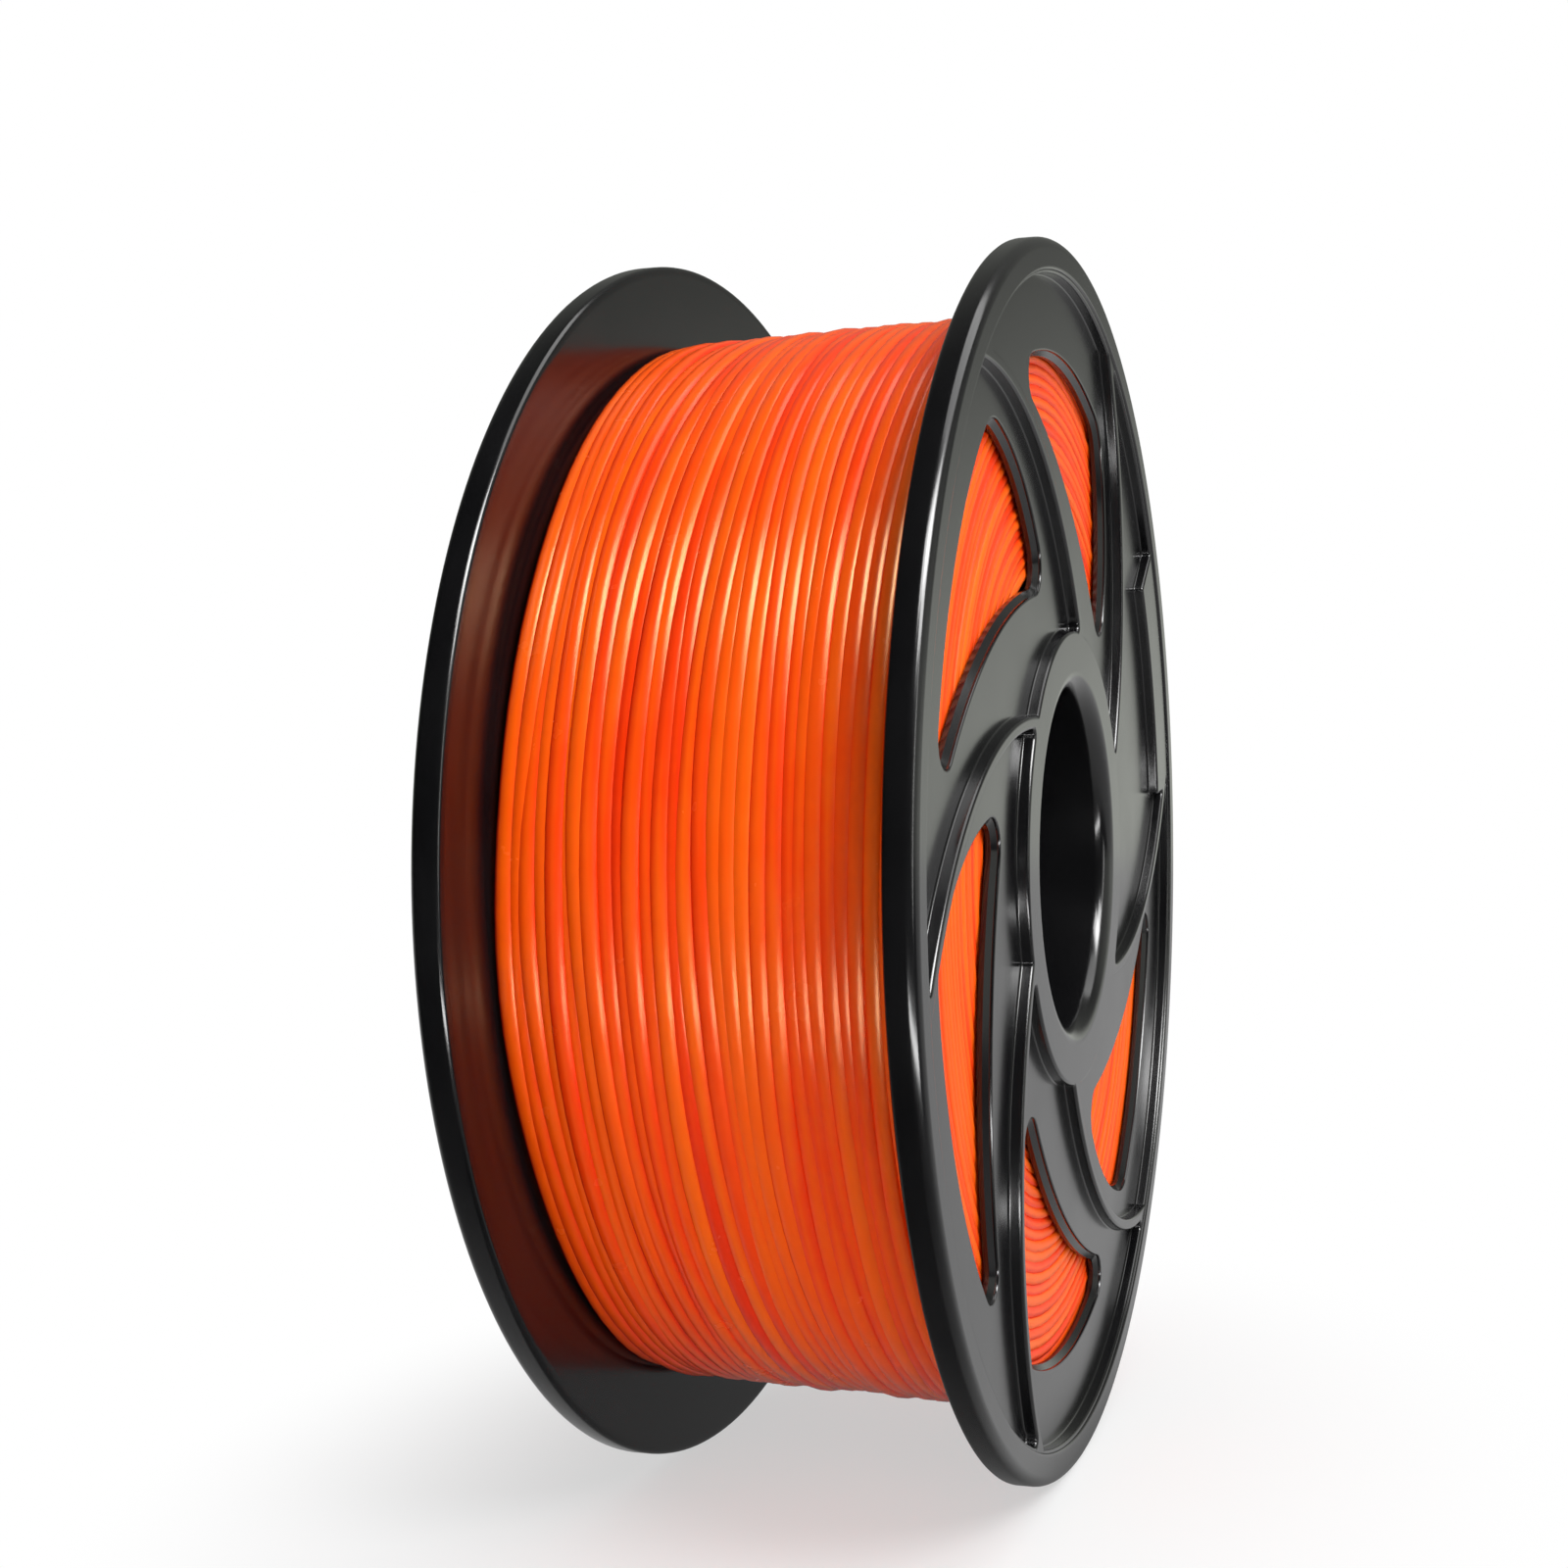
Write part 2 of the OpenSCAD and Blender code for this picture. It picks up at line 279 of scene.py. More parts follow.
def meet(first, first_r, second, second_r, bearing):
    """Where two circles meet: of the two points, the one that lies more towards a bearing."""
    gap = second - first
    along = (first_r ** 2 - second_r ** 2 + gap.length_squared) / (2 * gap.length)
    aside = math.sqrt(first_r ** 2 - along ** 2)
    unit = gap.normalized()
    across = Vector((-unit.y, unit.x)) * aside
    foot = first + unit * along
    return max((foot + across, foot - across), key=lambda point: point.normalized().dot(polar(bearing)))


def rounded_outline(arcs, corners, step=0.0012, least_steps=5):
    """A closed outline of arcs (centre, radius, way) joined by rounds (radius, way, bearing).

    The way is 1 where the shape lies inside the circle and -1 where it lies outside. The bearing
    says at which of their two meeting points the arcs are joined. Each point of the outline comes
    with its outward direction.
    """
    rounds = []
    for (centre, arc_r, way), after, (corner_r, turn, bearing) in zip(arcs, arcs[1:] + arcs[:1], corners):
        next_centre, next_r, next_way = after
        middle = meet(centre, arc_r - way * turn * corner_r,
                      next_centre, next_r - next_way * turn * corner_r, bearing)
        rounds.append((middle, corner_r, turn))
    outline = []
    for number, (centre, arc_r, _) in enumerate(arcs):
        before, here = rounds[number - 1][0], rounds[number][0]
        next_centre, next_r, _ = arcs[(number + 1) % len(arcs)]
        round_start = centre + (here - centre).normalized() * arc_r - here
        round_end = next_centre + (here - next_centre).normalized() * next_r - here
        for (middle, radius, turn), start, end in (
                (arcs[number], before - centre, here - centre),
                (rounds[number], round_start, round_end)):
            first_angle = math.atan2(start.y, start.x)
            sweep = (math.atan2(end.y, end.x) - first_angle) * turn % (2 * math.pi)
            count = max(least_steps, math.ceil(sweep * radius / step))
            for index in range(count):
                direction = polar(math.degrees(first_angle + turn * sweep * index / count))
                outline.append((middle + direction * radius, direction * turn))
    return outline


# A pocket's outline runs along the rim, in along the next vane, round the hub ring and out again along
# its own vane, and its corners lie towards these bearings.
pocket_bearings = (192, 146, 86, 132)
pocket_round = 0.001
rim_ledge = 0.0005
next_vane_angle = 180 + 360 / sectors
hub = Vector((0, 0))
vane_centre = polar(180, vane_offset)
next_vane_centre = polar(next_vane_angle, vane_offset)
pocket_arcs = [
    (hub, rim_inner_r - rim_ledge, 1), (next_vane_centre, vane_arc_r + vane_w / 2, -1),
    (hub, hub_ring_r, -1), (vane_centre, vane_arc_r - vane_w / 2, 1)]
pocket_corners = [(pocket_round, 1, bearing) for bearing in pocket_bearings]
pocket_outline = rounded_outline(pocket_arcs, pocket_corners)

# In the closed sector the rim is broader along a land with square ends, as broad as the plate is between
# the rim and the windows. Each square end is an arc so large that it passes for a straight line.
window_rim_margin = 0.013
window_outer_r = rim_inner_r - window_rim_margin
land_start = 128
land_end = 159
land_middle_r = 0.088
land_round = 0.0008
land_tip_round = 0.0005
straight_r = 2.0
land_start_edge = (polar(land_start, land_middle_r) + polar(land_start - 90, straight_r), straight_r, 1)
land_end_edge = (polar(land_end, land_middle_r) + polar(land_end + 90, straight_r), straight_r, 1)
closed_outline = rounded_outline(
    [*pocket_arcs, land_start_edge, (hub, window_outer_r, 1), land_end_edge],
    [*pocket_corners[:3], (land_tip_round, 1, land_start), (land_round, -1, land_start),
     (land_round, -1, land_end), (land_round, 1, land_end)])

# A window's front edge follows the vane before it, and its long back edge follows the next vane.
window_front_r = 0.044
window_front_margin = 0.006
window_front_angle = 81
window_back_r = 0.097
window_back_margin = 0.0016
window_back_angle = 68
window_front = vane_centre + polar(
    window_front_angle, vane_arc_r - vane_w / 2 - window_front_margin - window_front_r)
window_back = next_vane_centre - polar(
    next_vane_angle - window_back_angle, window_back_r - vane_arc_r - vane_w / 2 - window_back_margin)
outer_tip = (0.003, 1, 180)
inner_tip = (0.004, 1, 118)
broad_corner = (0.008, 1, 130)
window_outline = rounded_outline(
    [(hub, window_outer_r, 1), (window_back, window_back_r, -1), (window_front, window_front_r, 1)],
    [outer_tip, inner_tip, broad_corner])

# A half's mesh starts as the three outlines, and each carries its number as its kind.
half_outlines = [pocket_outline, closed_outline, window_outline]
pocket_kind, closed_kind, window_kind = range(3)


def new_tree(name, floats, integers):
    """A Geometry Nodes tree with named inputs, and the function that takes an input by its name."""
    tree = bpy.data.node_groups.new(name, "GeometryNodeTree")
    inputs = [("Geometry", "Geometry"), *((label, "Float") for label in floats),
              *((label, "Int") for label in integers), ("Material", "Material")]
    for label, kind in inputs:
        tree.interface.new_socket(label, in_out="INPUT", socket_type=f"NodeSocket{kind}")
    tree.interface.new_socket("Geometry", in_out="OUTPUT", socket_type="NodeSocketGeometry")
    given = tree.nodes.new("NodeGroupInput")

    def take(label):
        return Signal(tree, given.outputs[label])

    return Signal(tree), take


def end_tree(geometry, material):
    """Ends a tree: its instances are made real and all faces get the material."""
    geometry = geometry.node("GeometryNodeRealizeInstances", {}, {"Geometry": geometry})
    geometry = geometry.node("GeometryNodeSetMaterial", {}, {"Geometry": geometry, "Material": material})
    geometry.node("NodeGroupOutput", {}, {"Geometry": geometry})
    return geometry.tree


def store(geometry, kind, name, value, domain="POINT"):
    return geometry.node("GeometryNodeStoreNamedAttribute", {"data_type": kind, "domain": domain}, {
        "Geometry": geometry, "Name": name, "Value": value})


def stored(made, kind, name):
    return made.node("GeometryNodeInputNamedAttribute", {"data_type": kind}, {"Name": name})


def build_half_tree():
    """One spool half from its outlines: walls grow from them ring by ring, and flat faces fill between."""
    made, take = new_tree(
        "spool_half",
        floats=("Rim Radius", "Rim Inner Radius", "Flange Thickness", "Relief Thickness", "Plate Thickness",
                "Rim Rounding", "Edge Rounding", "Floor Rounding", "Window Step", "Window Chamfer",
                "Bore Radius", "Bore Lip", "Bore Wall", "Drum Radius", "Drum Wall", "Half Depth",
                "Rib Thickness", "Rib Setback", "Joint Radius", "Joint End", "Bead Start",
                "Bead Middle", "Bead Height", "Way"),
        integers=("Sectors", "Closed Sector"))

    def join(parts):
        joined = made.node("GeometryNodeJoinGeometry")
        for part in parts:
            made.tree.links.new(part.socket, joined.socket.node.inputs["Geometry"])
        return joined

    def ring_place(out, height):
        """A ring's points: so far outwards of the outline, and so high."""
        along = made.node("ShaderNodeVectorMath", {"operation": "SCALE"}, {
            "Vector": stored(made, "FLOAT_VECTOR", "outward"), "Scale": out})
        spot = made.node("ShaderNodeVectorMath", {"operation": "ADD"}, {
            0: stored(made, "FLOAT_VECTOR", "line"), 1: along})
        return made.node("ShaderNodeVectorMath", {"operation": "ADD"}, {0: spot, 1: made.vector(z=height)})

    def wall(outline, rings):
        """A wall that grows from an outline, from the first ring to the last."""
        grown = made.node("GeometryNodeSetPosition", {}, {
            "Geometry": outline, "Position": ring_place(*rings[0])})
        edge = {}
        for out, height in rings[1:]:
            grown = made.node("GeometryNodeExtrudeMesh", {"mode": "EDGES"}, {
                "Mesh": grown, "Offset Scale": 0.0, **edge})
            edge = {"Selection": grown.output("Top")}
            grown = made.node("GeometryNodeSetPosition", {}, {
                "Geometry": grown, "Position": ring_place(out, height), **edge})
        return grown

    def flat(height, *rings):
        """A flat face between closed rings, each an outline and a distance outwards."""
        lines = join([made.node("GeometryNodeSetPosition", {}, {
            "Geometry": outline, "Position": ring_place(out, 0.0)}) for outline, out in rings])
        lines = made.node("GeometryNodeMeshToCurve", {}, {"Mesh": lines})
        filled = made.node("GeometryNodeFillCurve", {}, {"Curve": lines})
        return made.node("GeometryNodeTransform", {}, {
            "Geometry": filled, "Translation": made.vector(z=height)})

    def circle(radius, corners=240):
        """A round outline about the hub, which stores what the other outlines store."""
        ring = made.node("GeometryNodeMeshCircle", {}, {"Vertices": corners, "Radius": radius})
        spot = made.node("GeometryNodeInputPosition")
        ring = store(ring, "FLOAT_VECTOR", "line", spot)
        outward = made.node("ShaderNodeVectorMath", {"operation": "NORMALIZE"}, {"Vector": spot})
        return store(ring, "FLOAT_VECTOR", "outward", outward)

    def quarter(middle_out, middle_height, radius, from_angle, to_angle, steps=4):
        """The rings of a rounded edge: a quarter of a circle about a point of the cross-section."""
        rings = []
        for index in range(steps + 1):
            angle = math.radians(from_angle + (to_angle - from_angle) * index / steps)
            rings.append((middle_out + radius * math.cos(angle), middle_height + radius * math.sin(angle)))
        return rings

    def sector_angle(shift=0.0):
        return (stored(made, "FLOAT", "sector") + shift) * (2 * math.pi) / take("Sectors")

    def copies_round_hub(geometry, shift=0.0):
        """Copies of a geometry turned round the hub, one for each sector, each with its sector's number."""
        copies = made.node("GeometryNodeDuplicateElements", {"domain": "INSTANCE"}, {
            "Geometry": made.node("GeometryNodeGeometryToInstance", {}, {"Geometry": geometry}),
            "Amount": take("Sectors")})
        copies = store(copies, "FLOAT", "sector", copies.output("Duplicate Index"), "INSTANCE")
        return made.node("GeometryNodeRotateInstances", {}, {
            "Instances": copies, "Rotation": made.vector(z=sector_angle(shift))})

    def is_number(value, number):
        """1 where a stored value is this whole number, and 0 elsewhere."""
        half_step = 0.5
        return made.maths("COMPARE", value, number, half_step)

    def outlines_round_hub(kind, only_closed=False):
        """One kind of outline in every sector but the closed one, or in the closed one alone."""
        outline = made.node("GeometryNodeSeparateGeometry", {"domain": "POINT"}, {
            "Geometry": take("Geometry"),
            "Selection": is_number(stored(made, "FLOAT", "kind"), float(kind))})
        is_closed = is_number(stored(made, "FLOAT", "sector"), take("Closed Sector"))
        copies = made.node("GeometryNodeDeleteGeometry", {"domain": "INSTANCE"}, {
            "Geometry": copies_round_hub(outline), "Selection": 1 - is_closed if only_closed else is_closed})
        copies = made.node("GeometryNodeRealizeInstances", {}, {"Geometry": copies})
        copies = store(copies, "FLOAT_VECTOR", "line", made.node("GeometryNodeInputPosition"))
        outward = made.node("ShaderNodeVectorRotate", {"rotation_type": "Z_AXIS"}, {
            "Vector": stored(made, "FLOAT_VECTOR", "outward"), "Angle": sector_angle()})
        return store(copies, "FLOAT_VECTOR", "outward", outward)

    rim, rim_inner, top = take("Rim Radius"), take("Rim Inner Radius"), take("Flange Thickness")
    relief, plate, depth = take("Relief Thickness"), take("Plate Thickness"), take("Half Depth")
    rim_round, edge, bend = take("Rim Rounding"), take("Edge Rounding"), take("Floor Rounding")
    step, chamfer = take("Window Step"), take("Window Chamfer")
    bore, lip, tube = take("Bore Radius"), take("Bore Lip"), take("Bore Wall")
    drum, drum_shell = take("Drum Radius"), take("Drum Wall")
    hair = 0.0001  # a narrow flat strip beside each rounded edge keeps the flat faces' shading flat

    # The rim, from its inner face out, up and over to the ledge at its foot.
    rim_line = circle(rim)
    rim_span = rim - rim_inner
    foot_round = rim_round * 0.5
    foot_start = rim_round * 0.9 + hair
    ledge = rim_span + hair / 10
    rim_wall = wall(rim_line, [
        (-foot_start, 0.0), *quarter(-foot_round, foot_round, foot_round, -90, 0),
        *quarter(-rim_round, top - rim_round, rim_round, 0, 90, steps=8), (-rim_round - hair, top),
        (edge + hair - rim_span, top), *quarter(edge - rim_span, top - edge, edge, 90, 180),
        (-rim_span, relief), (-ledge, relief)])

    # The pockets' walls down to the plate, and the windows' walls on through it.
    pockets = outlines_round_hub(pocket_kind)
    closed_pocket = outlines_round_hub(closed_kind, only_closed=True)
    windows = outlines_round_hub(window_kind)
    pocket_rings = [
        (edge + hair, relief), *quarter(edge, relief - edge, edge, 90, 180),
        *quarter(-bend, plate + bend, bend, 0, -90), (-bend - hair, plate)]
    window_round = edge * 0.5
    window_rings = [
        (chamfer + window_round + hair, plate),
        *quarter(chamfer + window_round, plate - window_round, window_round, 90, 180, steps=2),
        (chamfer, plate - step), (0.0, plate - step - chamfer),
        *quarter(window_round, window_round, window_round, 180, 270, steps=2), (window_round + hair, 0.0)]

    # The hub, from the bore's lip down the bore, out to the drum's joint and back up the drum.
    hub_line = circle(bore)
    drum_inside = drum - drum_shell - bore
    joint = take("Joint Radius") - bore
    joint_end = take("Joint End") - depth
    hub_wall = wall(hub_line, [
        (lip + hair, relief), *quarter(lip, relief - lip, lip, 90, 180, steps=8),
        (0.0, -depth), (tube, -depth), (tube, 0.0), (drum_inside, 0.0), (drum_inside, joint_end),
        (joint, joint_end), (joint + take("Bead Height"), take("Bead Middle") - depth),
        (joint, take("Bead Start") - depth), (joint, -depth), (drum - bore, -depth), (drum - bore, 0.0)])

    relief_face = flat(relief, (rim_line, -ledge), (hub_line, lip + hair),
                       (pockets, edge + hair), (closed_pocket, edge + hair))
    plate_face = flat(plate, (pockets, -bend - hair), (closed_pocket, -bend - hair),
                      (windows, chamfer + window_round + hair))
    inner_face = flat(0.0, (rim_line, -foot_start), (hub_line, drum - bore), (windows, window_round + hair))

    # Ribs tie the drum to the bore tube. Each reaches into both walls and into the plate.
    rib_span = drum - drum_shell - bore - tube + tube / 2 + drum_shell / 4
    rib_size = made.vector(
        x=rib_span, y=take("Rib Thickness"), z=depth - take("Rib Setback") + plate / 2)
    rib_middle = made.vector(
        x=bore + tube / 2 + rib_span / 2, z=(take("Rib Setback") - depth + plate / 2) / 2)
    rib = made.node("GeometryNodeMeshCube", {}, {"Size": rib_size})
    rib = made.node("GeometryNodeTransform", {}, {"Geometry": rib, "Translation": rib_middle})
    ribs = made.node("GeometryNodeRealizeInstances", {}, {"Geometry": copies_round_hub(rib, shift=0.5)})

    half = join([rim_wall, wall(pockets, pocket_rings), wall(closed_pocket, pocket_rings),
                 wall(windows, window_rings), hub_wall, relief_face, plate_face, inner_face, ribs])
    weld = 0.000002
    crease_angle = math.radians(32)
    half = made.node("GeometryNodeMergeByDistance", {}, {"Geometry": half, "Distance": weld})
    half = made.node("GeometryNodeSetShadeSmooth", {"domain": "FACE"}, {
        "Geometry": half, "Shade Smooth": True})
    creased = made.maths("GREATER_THAN", made.node("GeometryNodeInputMeshEdgeAngle"), crease_angle)
    half = made.node("GeometryNodeSetShadeSmooth", {"domain": "EDGE"}, {
        "Geometry": half, "Selection": creased, "Shade Smooth": False})
    way = take("Way")
    half = made.node("GeometryNodeTransform", {}, {
        "Geometry": half, "Rotation": made.vector(x=math.pi / 2, z=(way + 1) * (math.pi / 2)),
        "Translation": made.vector(y=way * depth)})
    return end_tree(half, take("Material"))


def outline_mesh(name, outlines):
    """Closed outlines as loops of edges, each with its kind and its points' outward directions."""
    points, edges, kinds, outwards = [], [], [], []
    for kind, outline in enumerate(outlines):
        start = len(points)
        for index, (place, outward) in enumerate(outline):
            points.append((place.x, place.y, 0))
            edges.append((start + index, start + (index + 1) % len(outline)))
            kinds.append(float(kind))
            outwards += [outward.x, outward.y, 0.0]
    mesh = bpy.data.meshes.new(name)
    mesh.from_pydata(points, edges, [])
    mesh.attributes.new("kind", "FLOAT", "POINT").data.foreach_set("value", kinds)
    mesh.attributes.new("outward", "FLOAT_VECTOR", "POINT").data.foreach_set("vector", outwards)
    return mesh


def grow(name, tree, values, mesh=None):
    """Runs a tree with its inputs set, and keeps the result as a plain mesh."""
    grown = bpy.data.objects.new(name, mesh or bpy.data.meshes.new(name))
    bpy.context.scene.collection.objects.link(grown)
    modifier = grown.modifiers.new("made", "NODES")
    modifier.node_group = tree
    for item in tree.interface.items_tree:
        if item.in_out == "INPUT" and item.name in values:
            modifier[item.identifier] = values[item.name]
    bpy.context.view_layer.update()
    evaluated = grown.evaluated_get(bpy.context.evaluated_depsgraph_get())
    result = bpy.data.meshes.new_from_object(evaluated)
    result.name = name
    grown.modifiers.remove(modifier)
    grown.data = result
    return grown


# Black plastic with a gloss that varies a little, over the faint unevenness of a moulded surface.
black_finish, tree = new_material("black_moulding")
place = tree.node("ShaderNodeTexCoord", {}, {}, "Object")
cloud = tree.node("ShaderNodeTexNoise", {}, {"Vector": place, "Scale": 60.0, "Detail": 4.0})
fine = tree.node("ShaderNodeTexNoise", {}, {"Vector": place, "Scale": 1400.0, "Detail": 2.0})
flow = tree.node("ShaderNodeTexNoise", {}, {"Vector": place, "Scale": 22.0, "Detail": 2.0})
colour = tree.node("ShaderNodeValToRGB", {"stops": (
    (0.3, (0.0035, 0.0035, 0.004, 1)),
    (0.7, (0.006, 0.006, 0.0065, 1)))}, {"Fac": cloud})
roughness = 0.12 + cloud * 0.12
unevenness = fine + flow * 2.0
bump = tree.node("ShaderNodeBump", {}, {"Strength": 0.05, "Distance": 0.00005, "Height": unevenness})
surface = tree.node("ShaderNodeBsdfPrincipled", {}, {
    "Base Color": colour, "Roughness": roughness, "Normal": bump, "IOR": 1.52})
tree.node("ShaderNodeOutputMaterial", {}, {"Surface": surface})

# The near half's spigot reaches past the middle of the spool, into the far half's socket. The joint's
# heights are measured from that middle towards the half's own flange.
spigot_l = 0.008
bead_l = 0.0016
joint_gap = 0.00015
rib_clearance = 0.001
spigot_r = drum_r - drum_wall / 2
bead_start = spigot_l - bead_l
bead_middle = spigot_l - bead_l / 2
spigot = {"Joint Radius": spigot_r - joint_gap, "Joint End": -spigot_l,
          "Bead Start": -bead_start, "Bead Middle": -bead_middle}
socket = {"Joint Radius": spigot_r, "Joint End": spigot_l + joint_gap,
          "Bead Start": bead_start - joint_gap, "Bead Middle": bead_middle}
half_sizes = {
    "Rim Radius": spool_r, "Rim Inner Radius": rim_inner_r, "Flange Thickness": flange_t,
    "Relief Thickness": relief_t, "Plate Thickness": plate_t, "Rim Rounding": 0.0016,
    "Edge Rounding": 0.0005, "Floor Rounding": 0.0003, "Window Step": 0.0005,
    "Window Chamfer": 0.0008, "Bore Radius": 0.028, "Bore Lip": 0.003, "Bore Wall": 0.0022,
    "Drum Radius": drum_r, "Drum Wall": drum_wall, "Half Depth": half_depth,
    "Rib Thickness": 0.0018, "Rib Setback": spigot_l + rib_clearance, "Bead Height": 0.0005,
    "Sectors": sectors, "Closed Sector": closed_sector, "Material": black_finish}
half_tree = build_half_tree()
for side, way, joint in (("near", -1.0, spigot), ("far", 1.0, socket)):
    half = grow(f"{side}_half", half_tree, {**half_sizes, **joint, "Way": way},
                outline_mesh("outlines", half_outlines))
    shell = bmesh.new()
    shell.from_mesh(half.data)
    bmesh.ops.recalc_face_normals(shell, faces=shell.faces)
    shell.to_mesh(half.data)
    shell.free()
    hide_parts(f"{side}_flange_half")
    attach(half, "root")

# ---------------------------------------------------------------------------
# Winding. One kilogram of orange filament, drawn plastic cord 1.75 mm thick, machine-wound in layers
# between the flanges. Its outer layer lies a little unevenly, and its layers' ends show in the windows.
# ---------------------------------------------------------------------------
filament_r = 0.000875
flange_gap = 0.0003
winding_half_w = half_depth - flange_gap


def build_winding_tree():
    """A length of filament laid turn by turn, as a helix along a layer or as a spiral up a side."""
    made, take = new_tree(
        "laid_filament",
        floats=("Turns", "Steps per Turn", "Filament Radius", "First Radius", "Radius per Turn",
                "First Side", "Side per Turn", "Radius Wander", "Side Wander", "Side Jitter",
                "Turn Change", "Start Angle", "End Dive", "Side Laid", "Lie", "Seed"),
        integers=("Corners",))
    turns, side_laid, lie = take("Turns"), take("Side Laid"), take("Lie")
    line = made.node("GeometryNodeCurvePrimitiveLine")
    points = made.node("GeometryNodeResampleCurve", {}, {
        "Curve": line, "Count": turns * take("Steps per Turn") + 1})
    turn = made.node("GeometryNodeSplineParameter") * turns
    angle = turn * (2 * math.pi) + take("Start Angle")
    cos_angle = made.maths("COSINE", angle)
    sin_angle = made.maths("SINE", angle)

    def wander(spread, change, shift):
        """Slow noise from -1 to 1, with its spread round a turn and its change from turn to turn."""
        seed_step = 7.31
        place = made.vector(
            x=cos_angle * spread + shift, y=sin_angle * spread + take("Seed") * seed_step, z=turn * change)
        noise = made.node("ShaderNodeTexNoise", {"noise_dimensions": "3D"}, {
            "Vector": place, "Scale": 1.0, "Detail": 1.0})
        return noise * 2 - 1

    drift = wander(spread=0.9, change=take("Turn Change"), shift=3.0)
    jitter = wander(spread=0.9, change=0.93, shift=11.0)
    lift = wander(spread=0.8, change=0.87, shift=23.0)
    dive_turns = 0.09
    from_end = made.maths("MINIMUM", turn, turns - turn)
    dive = made.maths("MAXIMUM", 1 - from_end / dive_turns, 0.0)
    radius = (take("First Radius") + turn * take("Radius per Turn") + lift * take("Radius Wander")
              - dive * dive * take("End Dive"))
    side = (take("First Side") + turn * take("Side per Turn")
            + drift * take("Side Wander") + jitter * take("Side Jitter"))
    place = made.vector(x=radius * cos_angle, y=-(radius * sin_angle), z=side)
    path = made.node("GeometryNodeSetPosition", {}, {"Geometry": points, "Position": place})
    path = store(path, "FLOAT", "path_radius", radius)
    path = store(path, "FLOAT", "path_side", side)
    path = store(path, "FLOAT", "turn", turn)
    path = made.node("GeometryNodeSetCurveNormal", {"mode": "Z_UP"}, {"Curve": path})

    # Lie widens the section along the layer: close turns rest against each other in shallow valleys.
    section = made.node("GeometryNodeCurvePrimitiveCircle", {}, {
        "Resolution": take("Corners"), "Radius": take("Filament Radius")})
    section = made.node("GeometryNodeTransform", {}, {
        "Geometry": section, "Scale": made.vector(lie * side_laid + 1, lie * (1 - side_laid) + 1, 1.0)})
    tube = made.node("GeometryNodeCurveToMesh", {}, {
        "Curve": path, "Profile Curve": section, "Fill Caps": True})

    # The crest is how far a point stands out from its turn's middle, in radii of the filament: outwards
    # on a layer, and to either side where a layer ends at a flange.
    x = made.node("ShaderNodeSeparateXYZ", {}, {"Vector": made.node("GeometryNodeInputPosition")}, "X")
    y = x.output("Y")
    z = x.output("Z")
    outer_crest = (made.maths("SQRT", x * x + y * y) - stored(made, "FLOAT", "path_radius")) * (1 - side_laid)
    side_crest = made.maths("ABSOLUTE", z - stored(made, "FLOAT", "path_side")) * side_laid
    # The filament's material uses this value to paint shade into the grooves and paler light onto the crests.
    tube = store(tube, "FLOAT", "crest", (outer_crest + side_crest) / take("Filament Radius"))
    tube = store(tube, "FLOAT", "side_laid", side_laid)
    tube = made.node("GeometryNodeSetShadeSmooth", {}, {"Geometry": tube, "Shade Smooth": True})
    tube = made.node("GeometryNodeTransform", {}, {"Geometry": tube, "Rotation": (-math.pi / 2, 0, 0)})
    return end_tree(tube, take("Material"))


# Glossy orange plastic. Painted shade makes it darker and redder in the grooves and paler on the crests.
# It differs a little along the filament and from turn to turn, and is paler and less glossy where the layers
# end at the flanges.
filament_finish, tree = new_material("orange_filament")
place = tree.node("ShaderNodeTexCoord", {}, {}, "Object")
crest = tree.node("ShaderNodeAttribute", {"attribute_name": "crest"}, {}, "Fac")
turn = tree.node("ShaderNodeAttribute", {"attribute_name": "turn"}, {}, "Fac")
side_laid = tree.node("ShaderNodeAttribute", {"attribute_name": "side_laid"}, {}, "Fac")
mottle = tree.node("ShaderNodeTexNoise", {}, {"Vector": place, "Scale": 180.0, "Detail": 3.0})
batch = tree.node("ShaderNodeTexNoise", {"noise_dimensions": "1D"}, {
    "W": turn * 0.9, "Scale": 1.0, "Detail": 1.0})
# Painted shade: the colour is darker and redder down in the grooves between turns and paler on their crests.
painted_groove_shade = crest.ramp(low=0.5, high=1.0, first=0.0, last=0.6)
mottle_shade = mottle * 0.2
batch_shade = batch * 1.1
side_shade = side_laid * 0.14
middle_shade = 0.5
shade = painted_groove_shade + mottle_shade + batch_shade + side_shade - middle_shade
colour = tree.node("ShaderNodeValToRGB", {"stops": (
    (0.0, (0.84, 0.026, 0.0004, 1)),
    (0.45, (0.92, 0.050, 0.0008, 1)),
    (1.0, (0.97, 0.120, 0.0015, 1)))}, {"Fac": shade})
roughness = 0.19 + mottle * 0.12 + side_laid * 0.22
fine = tree.node("ShaderNodeTexNoise", {}, {"Vector": place, "Scale": 900.0, "Detail": 2.0})
bump = tree.node("ShaderNodeBump", {}, {"Strength": 0.03, "Distance": 0.0002, "Height": fine})
surface = tree.node("ShaderNodeBsdfPrincipled", {}, {
    "Base Color": colour, "Roughness": roughness, "Normal": bump, "IOR": 1.46,
    "Specular Tint": (1.0, 0.80, 0.42, 1)})
tree.node("ShaderNodeOutputMaterial", {}, {"Surface": surface})

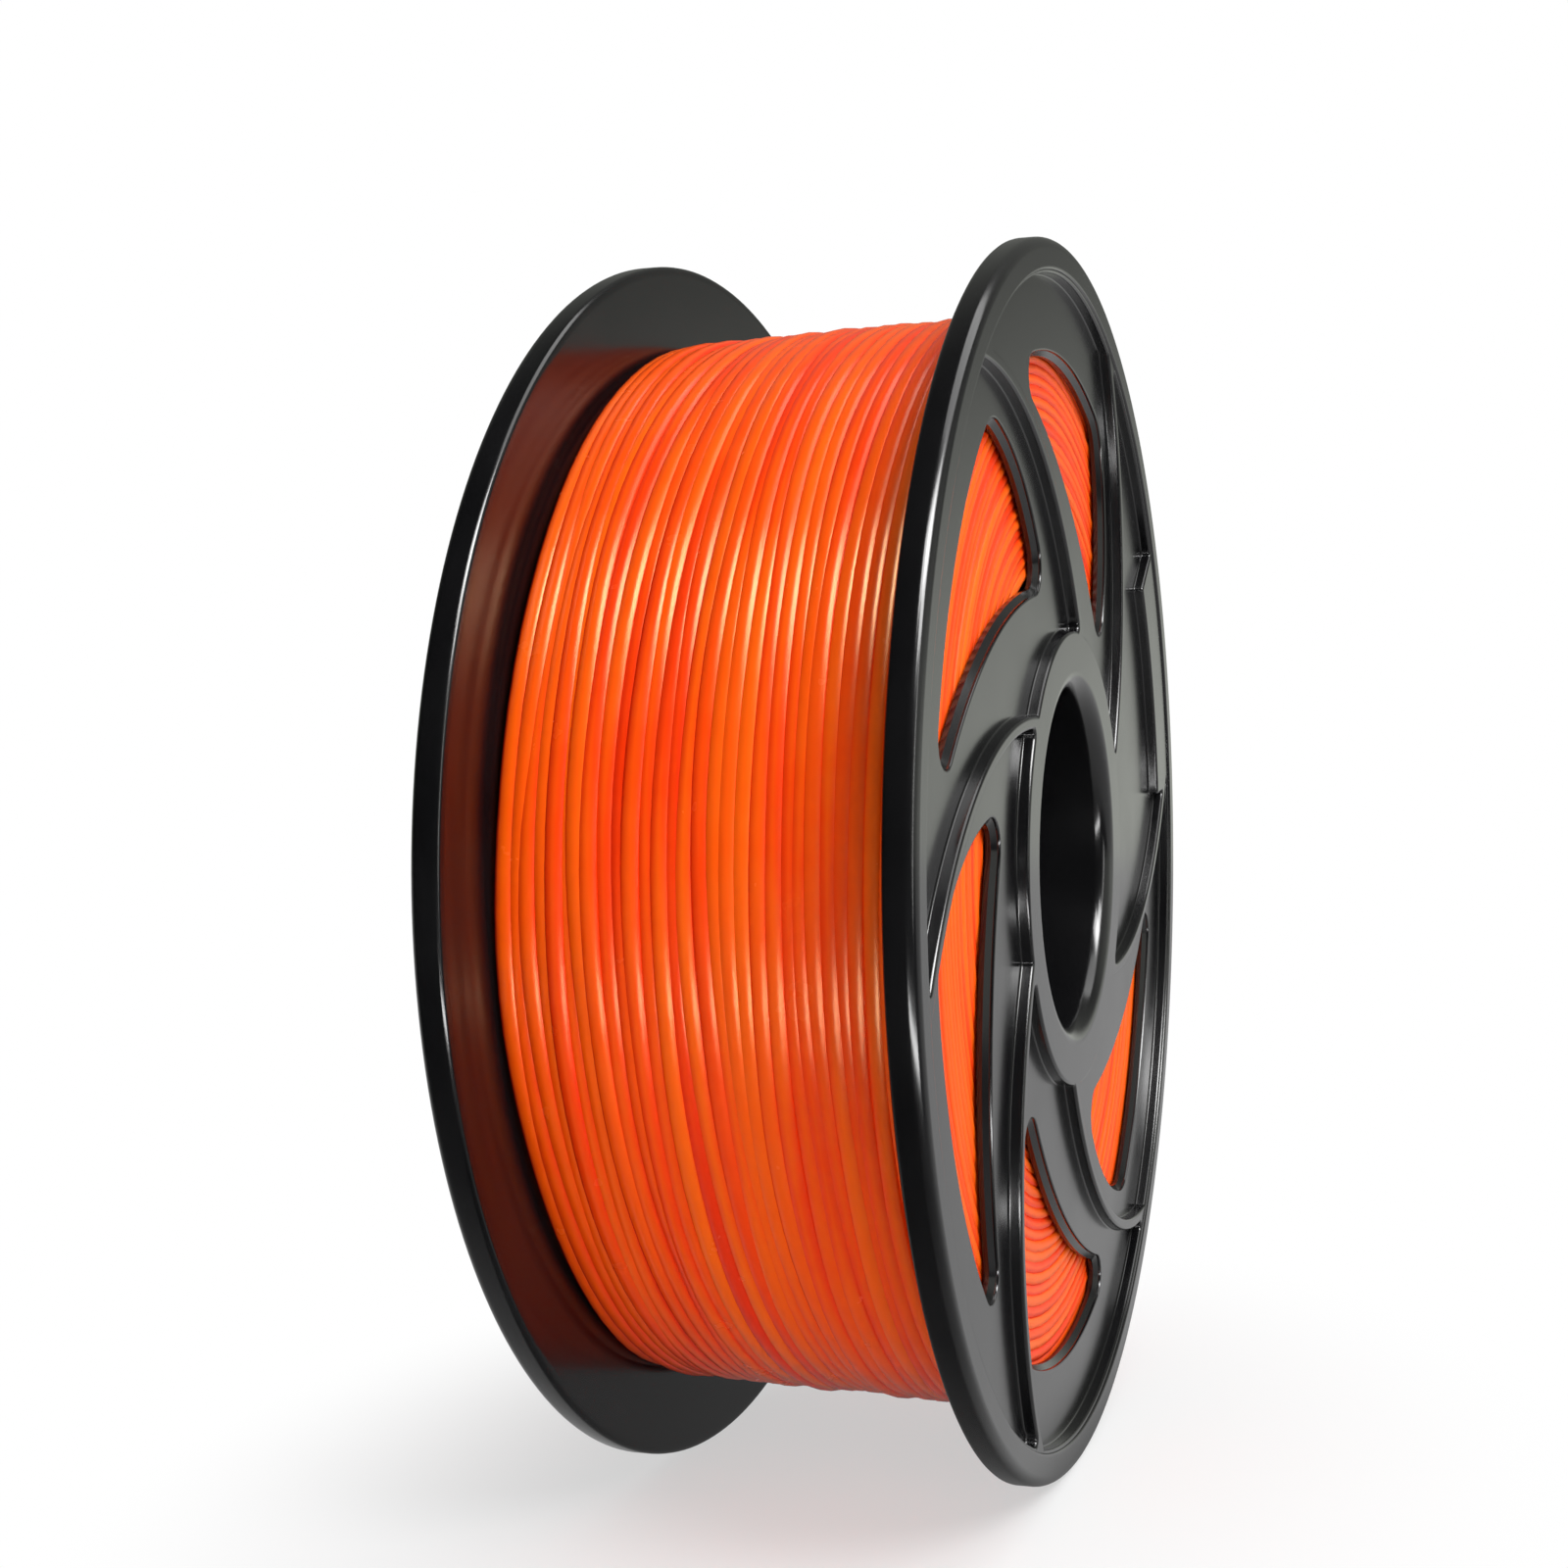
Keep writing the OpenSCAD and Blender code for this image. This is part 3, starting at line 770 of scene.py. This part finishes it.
# The outer layer. Like the layer below it, it starts at the near flange and lies a little closer to the
# hub at the far one. Both its ends dive into the winding.
winding_tree = build_winding_tree()
layer_pieces = bpy.data.collections.new("filament_layers")
taper = 0.0018
top_turns = 29.0
top_inset = 0.0013
top_half_w = winding_half_w - top_inset
top_layer = grow("filament_top_layer", winding_tree, {
    "Turns": top_turns, "Steps per Turn": 96.0, "Corners": 10, "Filament Radius": filament_r,
    "First Radius": 0.0881, "Radius per Turn": -taper / top_turns,
    "First Side": -top_half_w, "Side per Turn": 2 * top_half_w / top_turns,
    "Radius Wander": 0.0007, "Side Wander": 0.0018, "Side Jitter": 0.0009, "Turn Change": 0.2,
    "Start Angle": -math.pi / 2, "End Dive": 0.004, "Lie": 0.75, "Seed": 1.0, "Material": filament_finish})
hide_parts("filament_outer_layer")
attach(top_layer, "root")
layer_pieces.objects.link(top_layer)

# The layer below, close-wound and even, which shows only in the gaps of the outer one.
under_turns = 33.0
under_half_w = winding_half_w - filament_r
under_layer = grow("filament_under_layer", winding_tree, {
    "Turns": under_turns, "Steps per Turn": 72.0, "Corners": 8, "Filament Radius": filament_r,
    "First Radius": 0.0866, "Radius per Turn": -taper / under_turns,
    "First Side": -under_half_w, "Side per Turn": 2 * under_half_w / under_turns,
    "Radius Wander": 0.0002, "Side Wander": 0.0004, "Side Jitter": 0.0001, "Turn Change": 0.4,
    "Start Angle": 0.6, "End Dive": 0.0, "Lie": 0.25, "Seed": 2.0, "Material": filament_finish})
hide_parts("filament_inner_layers")
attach(under_layer, "root")
layer_pieces.objects.link(under_layer)

# The winding's sides, two turns deep. Where each layer turns back at a flange, one turn lies on the last.
column_step = 0.00155
for name, side, seed in (("near", -1, 3.0), ("far", 1, 4.0)):
    for column in range(2):
        end_turns = grow(f"filament_{name}_side_{column + 1}", winding_tree, {
            "Turns": 21.6, "Steps per Turn": 72.0, "Corners": 8, "Filament Radius": filament_r,
            "First Radius": drum_r + filament_r * (1 + column), "Radius per Turn": 0.00172,
            "First Side": side * (winding_half_w - filament_r - column * column_step),
            "Side per Turn": 0.0, "Radius Wander": 0.00025, "Side Wander": 0.0004,
            "Side Jitter": 0.0002, "Turn Change": 0.8, "Start Angle": seed, "End Dive": 0.0,
            "Side Laid": 1.0, "Lie": 0.25, "Seed": seed + 3 * column, "Material": filament_finish})
        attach(end_turns, "root")

# Two lamps that reach only the winding's layers. They put broad streaks on its shoulder and short ticks
# below its middle, and leave the black halves as they are.
add_lamp("shoulder_panel", place=(-0.54, -0.2, 0.78), aim=spool_middle, width=0.25, height=0.3,
         watts=4.6, lights="reflections", receivers=layer_pieces)
add_lamp("tick_strip", place=(-0.21, -0.035, -0.088), aim=(-0.088, 0.02, -0.012), width=0.05,
         height=0.016, watts=0.05, lights="reflections", receivers=layer_pieces)
